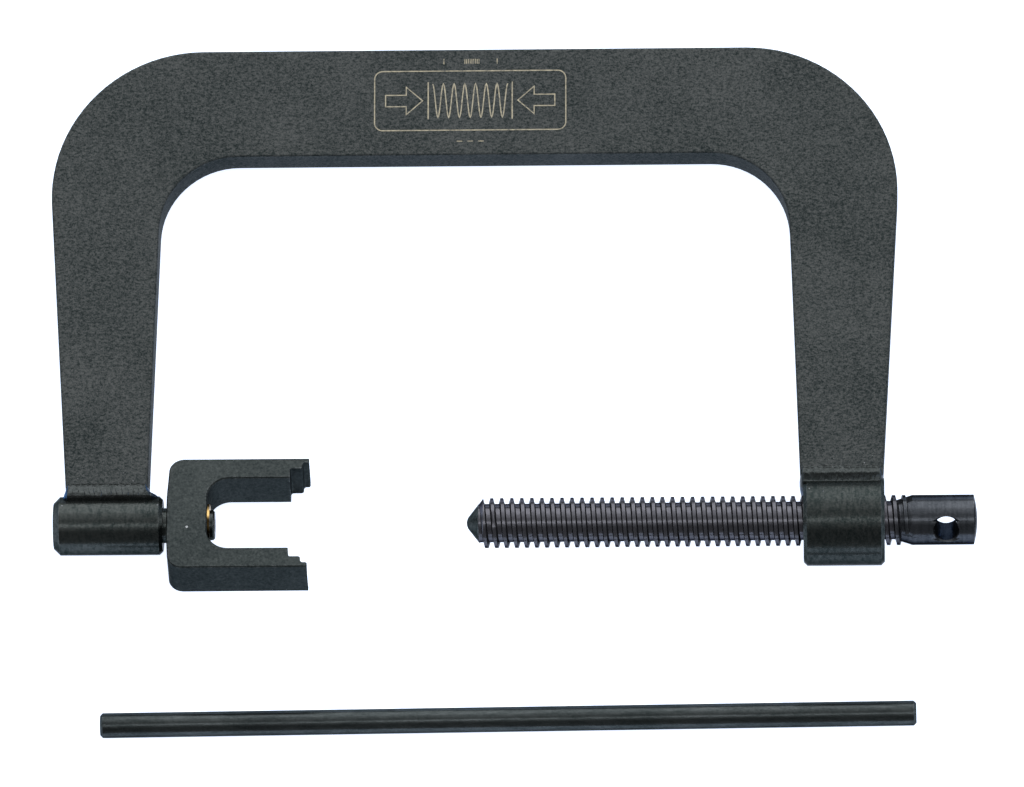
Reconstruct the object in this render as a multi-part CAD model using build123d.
from build123d import *
from math import ceil, cos, radians, sin, sqrt, tan
import os

# C-frame valve spring compressor, lying flat, with its tommy bar beside it. Millimetres.
# X runs along the pressing axis, from the fork to the head of the screw. Y runs from the screw up to the
# frame's top bar, and Z out of the frame's flat face. The origin is on the pressing axis, at the floor of
# the seat in the fork's jaws. The frame's own mid-plane is FRAME_X from there.

INCH = 25.4
GAP = 0.08                                  # running clearance on radius and between faces that turn

# frame plate, measured from its mid-plane and from the pressing axis
FRAME_X = 58.5
PLATE_T = INCH / 2
TOP_Y = 155.6
THROAT_Y = 120.2
OUTER_HALF_AT_AXIS = 128.6
OUTER_HALF_AT_TOP = 137.5
INNER_HALF_AT_AXIS = 103.6
INNER_HALF_AT_THROAT = 99.45
OUTER_R = 48.0
INNER_R = 25.0
PLATE_EDGE_R = 0.7

# welds round the feet: sections as (y, how far past the leg's -X edge, how far past its +X edge, half the
# thickness), from the foot buried in the boss, over the crown, to the toe on the plate
FORK_WELD = (
    (5.4, 1.8, 3.4, 6.7),
    (8.2, 2.0, 3.4, 7.9),
    (9.6, 1.0, 1.4, 7.4),
    (12.0, 0.2, 0.2, 6.5),
)
SCREW_WELD = (
    (8.5, -0.9, -1.6, 5.0),
    (9.4, -0.1, -1.2, 6.2),
    (11.0, 0.9, 0.7, 8.0),
    (13.6, 0.9, 0.7, 8.6),
    (16.8, 0.2, 0.2, 6.5),
)

# bosses welded to the feet of the frame
FORK_BOSS_X = (-74.6, -40.0)
FORK_BOSS_R = 9.3
FORK_BOSS_BACK_CHAMFER = 2.0
FORK_BOSS_FRONT_CHAMFER = 1.1
JOURNAL_R = 7 / 16 * INCH / 2
SCREW_BOSS_X = (162.6, 188.2)
SCREW_BOSS_R = 9 / 16 * INCH
SCREW_BOSS_CHAMFER = 1.1
SCREW_BORE_CHAMFER = 0.8

# fork
FORK_BACK_X = -38.7
FORK_TIP_X = 6.1
FORK_H = 13 / 8 * INCH
FORK_T = 9 / 16 * INCH
FORK_CORNER_R = 4.8
FORK_BACK_FALL = 0.8                        # the web's back falls away this far from its hub to its corners
FORK_HUB_HALF = 6.5
FORK_EDGE = 0.4
SLOT_W = 26.4
SLOT_BOTTOM_X = -25.9
SLOT_CORNER_R = 7.0
SEAT_R = 18.2                               # inner counterbore of the jaws; its floor is at x = 0
RIM_R = 20.3                                # outer, shallower counterbore
RIM_FLOOR_X = 4.0
SEAT_FILLET = 0.8                           # the steps of the seat are cut with a radiused tool
FORK_SWIVEL_DEG = -18.0                     # about the pressing axis, so the +Y edge hangs towards the table

# brass washer and screw that keep the fork on its journal
WASHER_R = 6.75
WASHER_T = 0.7
KEEPER_HEAD_R = 3 / 16 * INCH
KEEPER_HEAD_T = 1.5
KEEPER_SHANK_R = INCH / 8
KEEPER_LENGTH = 20.0
KEEPER_SOCKET_AF = 4.0
KEEPER_SOCKET_DEPTH = 0.9

# pressure screw: 5/8 in Acme, eight threads to the inch, right hand
SCREW_R = 5 / 16 * INCH
PITCH = INCH / 8
ROOT_R = 6.1
CREST_HALF = 0.5
FLANK_DEG = 14.5
POINT_TIP_X = 56.1
POINT_NOSE_R = 3.6
POINT_HALF_ANGLE = 52.0
POINT_SHANK_R = 3.0
POINT_SHANK_LENGTH = 10.0
CREST_AT_TOP_X = 63.9                       # a crest crosses the +Y side here
RUNOUT_X = (191.0, 196.9)                   # the groove dies away between these
SCREW_END_X = 217.5
HEAD_DOME = 1.1
CROSS_HOLE_X = 207.6
CROSS_HOLE_R = 21 / 64 * INCH / 2
CROSS_HOLE_TILT_DEG = 42.3                  # from +Z towards -Y
CROSS_HOLE_RIM = 0.6

# tommy bar
BAR_R = 5 / 32 * INCH
BAR_LENGTH = 257.7
BAR_MID_X = 68.9
BAR_MID_Y = -61.5
BAR_TURN_DEG = 0.5
BAR_CHAMFER = 0.8

TABLE_Z = -SCREW_BOSS_R                     # the table that the tool lies on


def turned(*points):
    """The solid that a closed (x, radius) outline sweeps about the pressing axis."""
    return revolve(make_face(Polyline(*points, close=True)), Axis.X)


def rod(x0, x1, r, chamfer0=0.0, chamfer1=0.0):
    """A round bar on the pressing axis from x0 to x1, with its own chamfer at each end."""
    outline = [(x0, 0), (x0, r - chamfer0), (x0 + chamfer0, r), (x1 - chamfer1, r), (x1, r - chamfer1), (x1, 0)]
    return turned(*dict.fromkeys(outline))


def outer_half(y):
    """Half the frame's width over the outer edges of the legs, y above the pressing axis."""
    return OUTER_HALF_AT_AXIS + (OUTER_HALF_AT_TOP - OUTER_HALF_AT_AXIS) * y / TOP_Y


def inner_half(y):
    """Half the throat's width, y above the pressing axis."""
    return INNER_HALF_AT_AXIS + (INNER_HALF_AT_THROAT - INNER_HALF_AT_AXIS) * y / THROAT_Y


# the legs stand a little lower than the crest of their bosses, and are notched to sit on them
FOOT_SINK = 0.5
FORK_FOOT_Y = sqrt(FORK_BOSS_R**2 - (PLATE_T / 2) ** 2) + FOOT_SINK
SCREW_FOOT_Y = sqrt(SCREW_BOSS_R**2 - (PLATE_T / 2) ** 2) + FOOT_SINK


def make_plate():
    """The flame-cut C, before its feet are notched."""
    corners = (
        (-outer_half(FORK_FOOT_Y), FORK_FOOT_Y),
        (-OUTER_HALF_AT_TOP, TOP_Y),
        (OUTER_HALF_AT_TOP, TOP_Y),
        (outer_half(SCREW_FOOT_Y), SCREW_FOOT_Y),
        (inner_half(SCREW_FOOT_Y), SCREW_FOOT_Y),
        (INNER_HALF_AT_THROAT, THROAT_Y),
        (-INNER_HALF_AT_THROAT, THROAT_Y),
        (-inner_half(FORK_FOOT_Y), FORK_FOOT_Y),
    )
    outline = make_face(Polyline(*corners, close=True))
    by_height = outline.vertices().sort_by(Axis.Y)
    outline = fillet(by_height[-2:], OUTER_R)
    throat = outline.vertices().filter_by(lambda v: abs(v.Y - THROAT_Y) < FOOT_SINK)
    outline = fillet(throat, INNER_R)
    plate = extrude(outline, PLATE_T / 2, both=True)
    rims = plate.faces().filter_by(Axis.Z).edges()
    above_feet = rims.filter_by(lambda e: e.center().Y > SCREW_FOOT_Y + FOOT_SINK)
    return Pos(FRAME_X, 0, 0) * fillet(above_feet, PLATE_EDGE_R)


def weld_ring(leg_mid, leg_width, sections):
    """A fillet weld round a leg's foot, before the plate and the boss are taken out of it."""
    rings = []
    for y, past_left, past_right, half_t in sections:
        middle = FRAME_X + leg_mid + (past_right - past_left) / 2
        outline = Rectangle(leg_width + past_left + past_right, 2 * half_t)
        rings.append(Pos(middle, y, 0) * Rot(-90, 0, 0) * outline)
    return loft(rings, ruled=True)


def halves(solid, name):
    """The same weld as its two runs, one laid from the front of the plate and one from the back."""
    return {
        f"{name}_front": split(solid, Plane.XY, keep=Keep.TOP),
        f"{name}_back": split(solid, Plane.XY, keep=Keep.BOTTOM),
    }


def make_fork():
    """The swivelling yoke, square to the axes; it is turned about the pressing axis afterwards."""
    half_h = FORK_H / 2
    fallen_x = FORK_BACK_X + FORK_BACK_FALL
    blank = make_face(Polyline(
        (FORK_TIP_X, -half_h), (FORK_TIP_X, half_h), (fallen_x, half_h), (FORK_BACK_X, FORK_HUB_HALF),
        (FORK_BACK_X, -FORK_HUB_HALF), (fallen_x, -half_h), close=True,
    ))
    corners = blank.vertices().filter_by(lambda v: abs(v.X - fallen_x) < FORK_EDGE / 2)
    blank = fillet(corners, FORK_CORNER_R)
    slot_length = FORK_TIP_X - SLOT_BOTTOM_X + FORK_H
    slot = Pos(SLOT_BOTTOM_X + slot_length / 2, 0, 0) * Rectangle(slot_length, SLOT_W)
    slot = fillet(slot.vertices().sort_by(Axis.X)[:2], SLOT_CORNER_R)
    yoke = extrude(blank - slot, FORK_T / 2, both=True)
    yoke = chamfer(yoke.faces().filter_by(Axis.Z).edges(), FORK_EDGE)
    far_x = FORK_TIP_X + INCH
    seat = make_face(Polyline(
        (0, 0), (0, SEAT_R), (RIM_FLOOR_X, SEAT_R), (RIM_FLOOR_X, RIM_R), (far_x, RIM_R), (far_x, 0), close=True,
    ))
    steps = seat.vertices().filter_by(lambda v: v.Y > 0 and v.X < far_x)
    yoke -= revolve(fillet(steps, SEAT_FILLET), Axis.X)
    return yoke - rod(FORK_BACK_X - INCH, SLOT_BOTTOM_X + WASHER_T, JOURNAL_R + GAP)


def make_fork_boss():
    """The round stub that carries the fork on a turned-down journal, tapped for the keeper screw."""
    x0, x1 = FORK_BOSS_X
    stub = rod(x0, x1, FORK_BOSS_R, FORK_BOSS_BACK_CHAMFER, FORK_BOSS_FRONT_CHAMFER)
    journal = rod(x0, JOURNAL_END_X, JOURNAL_R)
    return stub + journal - rod(JOURNAL_END_X - KEEPER_LENGTH - 2, JOURNAL_END_X + 1, KEEPER_SHANK_R)


def make_keeper():
    """The low-headed socket screw that keeps the washer on the end of the journal."""
    head_x = JOURNAL_END_X + WASHER_T
    screw = rod(head_x, head_x + KEEPER_HEAD_T, KEEPER_HEAD_R, 0, KEEPER_HEAD_T / 3)
    screw += rod(JOURNAL_END_X - KEEPER_LENGTH, head_x + KEEPER_HEAD_T / 2, KEEPER_SHANK_R, KEEPER_HEAD_T / 3)
    socket = extrude(RegularPolygon(KEEPER_SOCKET_AF / 2, 6, major_radius=False), KEEPER_HEAD_T)
    return screw - Pos(head_x + KEEPER_HEAD_T - KEEPER_SOCKET_DEPTH, 0, 0) * Rot(0, 90, 0) * socket


def point_outline():
    """(x, radius) where the nose's arc meets the cone, and where the cone reaches the thread's root."""
    angle = radians(POINT_HALF_ANGLE)
    tangent_x = POINT_TIP_X + POINT_NOSE_R * (1 - sin(angle))
    tangent_r = POINT_NOSE_R * cos(angle)
    return (tangent_x, tangent_r), (tangent_x + (ROOT_R - tangent_r) / tan(angle), ROOT_R)


def make_screw_point():
    """The conical nose, with a stub shank that turns in the end of the screw."""
    tangent, base = point_outline()
    half = radians(90 - POINT_HALF_ANGLE) / 2
    centre_x = POINT_TIP_X + POINT_NOSE_R
    middle = (centre_x - POINT_NOSE_R * cos(half), POINT_NOSE_R * sin(half))
    shank_end = base[0] + POINT_SHANK_LENGTH
    nose = ThreePointArc((POINT_TIP_X, 0), middle, tangent)
    step = (base[0], POINT_SHANK_R)
    rest = Polyline(tangent, base, step, (shank_end, POINT_SHANK_R), (shank_end, 0), (POINT_TIP_X, 0))
    return revolve(make_face(Curve() + [nose, rest]), Axis.X)


def make_pressure_screw():
    """The Acme screw, with a plain domed head that is cross-drilled for the tommy bar."""
    start = point_outline()[1][0] + GAP

    # the ridge begins ahead of the first whole crest and ends where the run-out has nearly filled the groove
    start_turns = ceil((CREST_AT_TOP_X - start) / PITCH) + 1
    ridge_x = CREST_AT_TOP_X - start_turns * PITCH
    ridge_length = RUNOUT_X[1] - PITCH / 2 - ridge_x
    root_half = CREST_HALF + (SCREW_R - ROOT_R) * tan(radians(FLANK_DEG))
    sunk_half = root_half + GAP * tan(radians(FLANK_DEG))
    profile = make_face(Polyline(
        (ROOT_R - GAP, 0, -sunk_half), (SCREW_R, 0, -CREST_HALF), (SCREW_R, 0, CREST_HALF),
        (ROOT_R - GAP, 0, sunk_half), close=True,
    ))
    ridge = sweep(profile, path=Helix(PITCH, ridge_length, ROOT_R), is_frenet=True)
    # the helix climbs +Z from +X; it is laid along +X, with its start on the +Y side
    ridge = Pos(ridge_x, 0, 0) * Rot(0, 90, 0) * Rot(0, 0, 90) * ridge
    far_x = ridge_x - PITCH
    screw = rod(far_x, RUNOUT_X[1] + PITCH, ROOT_R) + ridge

    # the cone of the nose carries on over the first turn of the thread
    slope = tan(radians(POINT_HALF_ANGLE))
    far_r = SCREW_R + 1
    screw -= turned(
        (far_x - 1, 0), (start, 0), (start, ROOT_R), (start + (far_r - ROOT_R) / slope, far_r), (far_x - 1, far_r)
    )

    # the run-out cone and the domed head
    dome_r = (SCREW_R**2 + HEAD_DOME**2) / (2 * HEAD_DOME)
    half_r = SCREW_R / 2
    crown_x = SCREW_END_X - dome_r + sqrt(dome_r**2 - half_r**2)
    edge_x = SCREW_END_X - HEAD_DOME
    crown = ThreePointArc((SCREW_END_X, 0), (crown_x, half_r), (edge_x, SCREW_R))
    sides = Polyline(
        (edge_x, SCREW_R), (RUNOUT_X[1], SCREW_R), (RUNOUT_X[0], ROOT_R - GAP), (RUNOUT_X[0], 0), (SCREW_END_X, 0)
    )
    screw += revolve(make_face(Curve() + [crown, sides]), Axis.X)

    screw -= rod(start - 1, start + POINT_SHANK_LENGTH, POINT_SHANK_R + GAP)
    return screw - cross_hole()


def cross_hole():
    """The tommy bar's hole, with a small countersink at each mouth."""
    reach = SCREW_R + 1
    rim_r = CROSS_HOLE_R + CROSS_HOLE_RIM
    mouth = sqrt(SCREW_R**2 - CROSS_HOLE_R**2)
    hole = Cylinder(CROSS_HOLE_R, 2 * reach)
    for side in (1, -1):
        flare = Cone(CROSS_HOLE_R, rim_r + CROSS_HOLE_RIM, 2 * CROSS_HOLE_RIM)
        hole += Rot(90 - 90 * side, 0, 0) * Pos(0, 0, mouth) * flare
    return Pos(CROSS_HOLE_X, 0, 0) * Rot(CROSS_HOLE_TILT_DEG, 0, 0) * hole


JOURNAL_END_X = SLOT_BOTTOM_X + GAP

plate = make_plate()
fork_boss = make_fork_boss()
screw_boss = rod(*SCREW_BOSS_X, SCREW_BOSS_R, SCREW_BOSS_CHAMFER, SCREW_BOSS_CHAMFER)
bore_r = SCREW_R + GAP
bore_x0, bore_x1 = SCREW_BOSS_X
flare_r = bore_r + SCREW_BORE_CHAMFER
screw_boss -= turned(
    (bore_x0, 0), (bore_x0, flare_r), (bore_x0 + SCREW_BORE_CHAMFER, bore_r),
    (bore_x1 - SCREW_BORE_CHAMFER, bore_r), (bore_x1, flare_r), (bore_x1, 0),
)

notches = rod(*FORK_BOSS_X, FORK_BOSS_R) + rod(SCREW_BOSS_X[0] - INCH, SCREW_BOSS_X[1] + INCH, SCREW_BOSS_R)
c_frame = plate - notches

fork_leg_mid = -(outer_half(FORK_FOOT_Y) + inner_half(FORK_FOOT_Y)) / 2
screw_leg_mid = (outer_half(SCREW_FOOT_Y) + inner_half(SCREW_FOOT_Y)) / 2
leg_width = outer_half(FORK_FOOT_Y) - inner_half(FORK_FOOT_Y)
fork_weld = weld_ring(fork_leg_mid, leg_width, FORK_WELD) - plate - rod(*FORK_BOSS_X, FORK_BOSS_R)
screw_weld = weld_ring(screw_leg_mid, leg_width, SCREW_WELD) - plate - rod(*SCREW_BOSS_X, SCREW_BOSS_R)

nodes = {
    "c_frame": c_frame,
    "fork_boss": fork_boss,
    "screw_boss": screw_boss,
    **halves(fork_weld, "fork_boss_weld"),
    **halves(screw_weld, "screw_boss_weld"),
    "fork": Rot(FORK_SWIVEL_DEG, 0, 0) * make_fork(),
    "keeper_washer": rod(JOURNAL_END_X, JOURNAL_END_X + WASHER_T, WASHER_R) - rod(FORK_BACK_X, 0, KEEPER_SHANK_R),
    "keeper_screw": make_keeper(),
    "screw_point": make_screw_point(),
    "pressure_screw": make_pressure_screw(),
    "tommy_bar": Pos(BAR_MID_X, BAR_MID_Y, TABLE_Z + BAR_R)
    * Rot(0, 0, BAR_TURN_DEG)
    * rod(-BAR_LENGTH / 2, BAR_LENGTH / 2, BAR_R, BAR_CHAMFER, BAR_CHAMFER),
}

os.makedirs("parts", exist_ok=True)
for name, shape in nodes.items():
    export_step(shape, f"parts/{name}.step")
